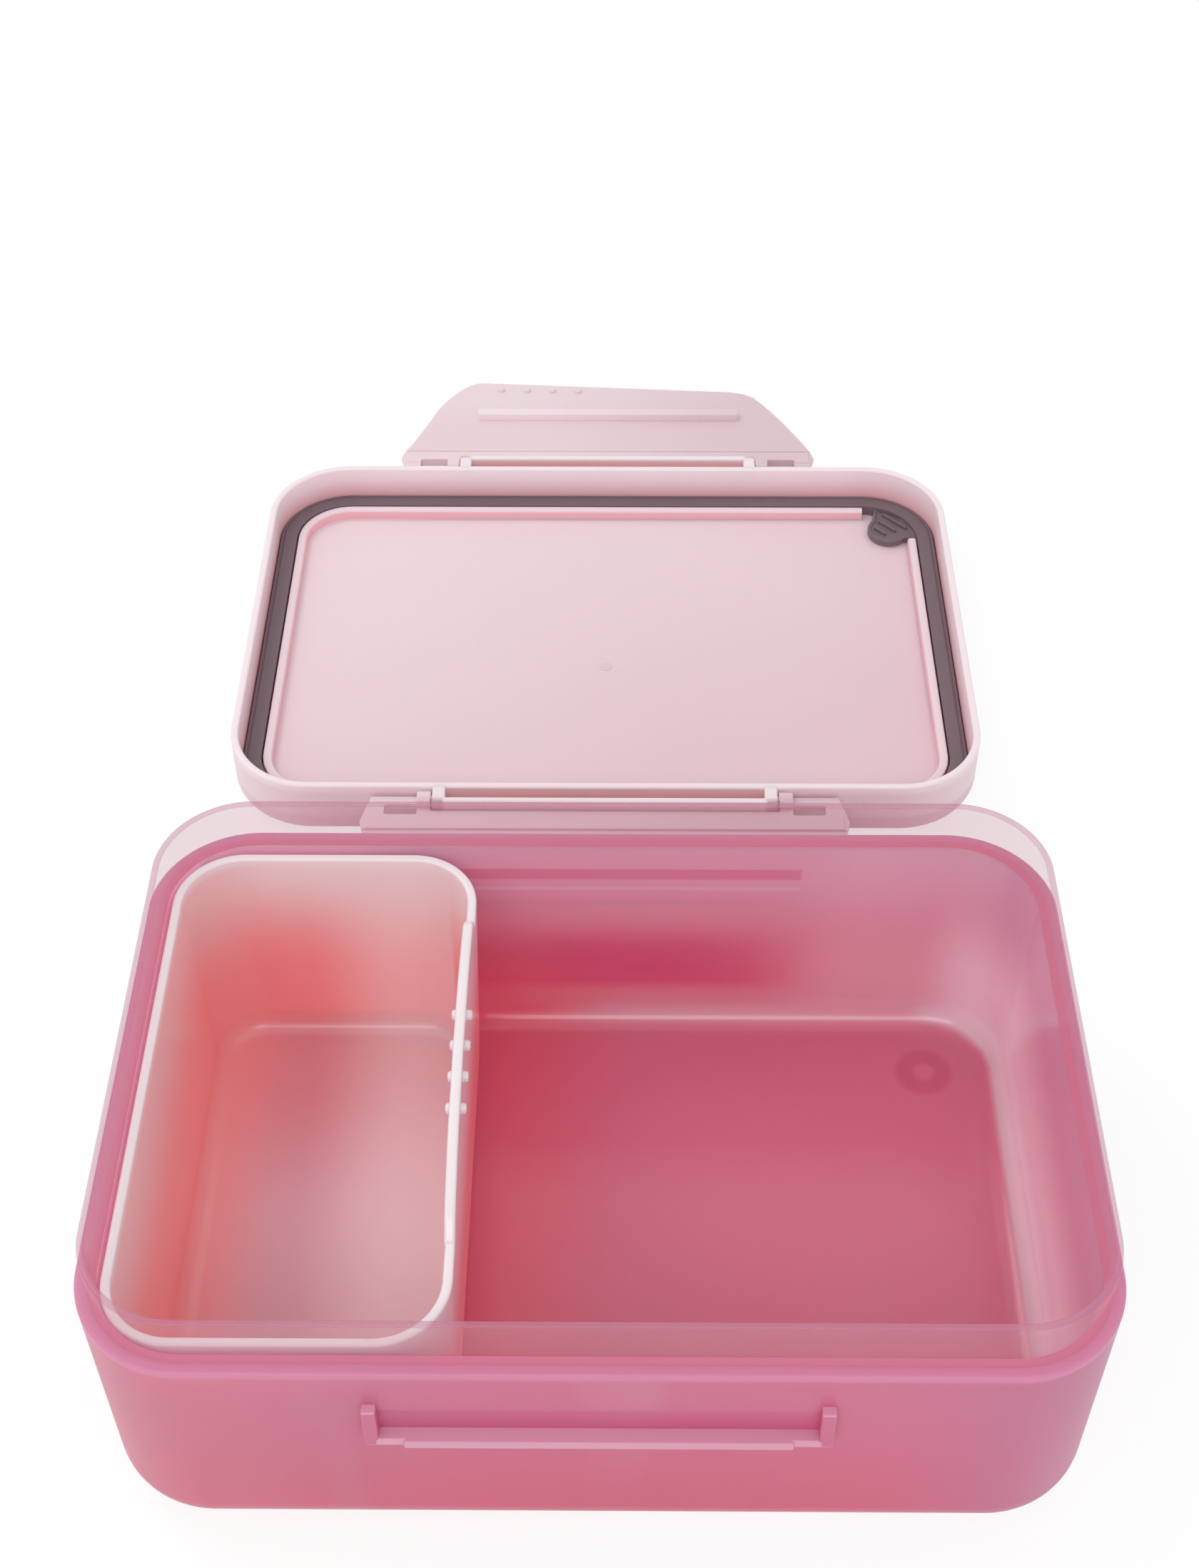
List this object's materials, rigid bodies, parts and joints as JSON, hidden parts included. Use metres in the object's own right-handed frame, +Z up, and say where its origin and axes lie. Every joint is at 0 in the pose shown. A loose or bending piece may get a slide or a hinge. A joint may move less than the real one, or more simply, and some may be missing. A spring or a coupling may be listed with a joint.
{
  "type": "lunch box",
  "caption": "Rounded lunch box with a clear collar, a lift-out side container, and a lid with a removable seal and swing-over latch clips, shown taken off.",
  "frame": {"origin": "centre of the box's underside, on the surface it stands on", "axes": "+Z up, +X along the box's long side towards the open compartment, +Y from the box towards the lid that lies behind it"},
  "size_m": [0.1898, 0.3718, 0.07],
  "materials": {
    "box_body": "tinted translucent plastic, satin walls and a clear glossy collar",
    "side_container": "milky translucent plastic, satin",
    "lid": "opaque pale plastic, fine satin",
    "lid_seal": "soft silicone, dull sheen",
    "front_clip": "opaque pale plastic, fine satin",
    "rear_clip": "opaque pale plastic, fine satin"
  },
  "bodies": {
    "box": {"box_body": "box_body"},
    "container": {"side_container": "side_container"},
    "lid": {"lid": "lid"},
    "seal": {"lid_seal": "lid_seal"},
    "front_clip": {"front_clip": "front_clip"},
    "rear_clip": {"rear_clip": "rear_clip"}
  },
  "joints": [
    {"name": "container_lift", "type": "slide", "parent": "box", "child": "container", "axis": [0, 0, 1], "range_m": [0, 0.115]},
    {"name": "lid_turn", "type": "hinge", "parent": "box", "child": "lid", "pos_m": [0, 0.09331, 0.0388], "axis": [1, 0, 0], "range_deg": [0, 180]},
    {"name": "seal_pull", "type": "slide", "parent": "lid", "child": "seal", "axis": [0, 0, 1], "range_m": [0, 0.1]},
    {"name": "front_clip_hinge", "type": "hinge", "parent": "lid", "child": "front_clip", "pos_m": [0, 0.25481, 0.0145], "axis": [1, 0, 0], "range_deg": [0, 95]},
    {"name": "rear_clip_hinge", "type": "hinge", "parent": "lid", "child": "rear_clip", "pos_m": [0, 0.11841, 0.0145], "axis": [-1, 0, 0], "range_deg": [0, 95]}
  ]
}
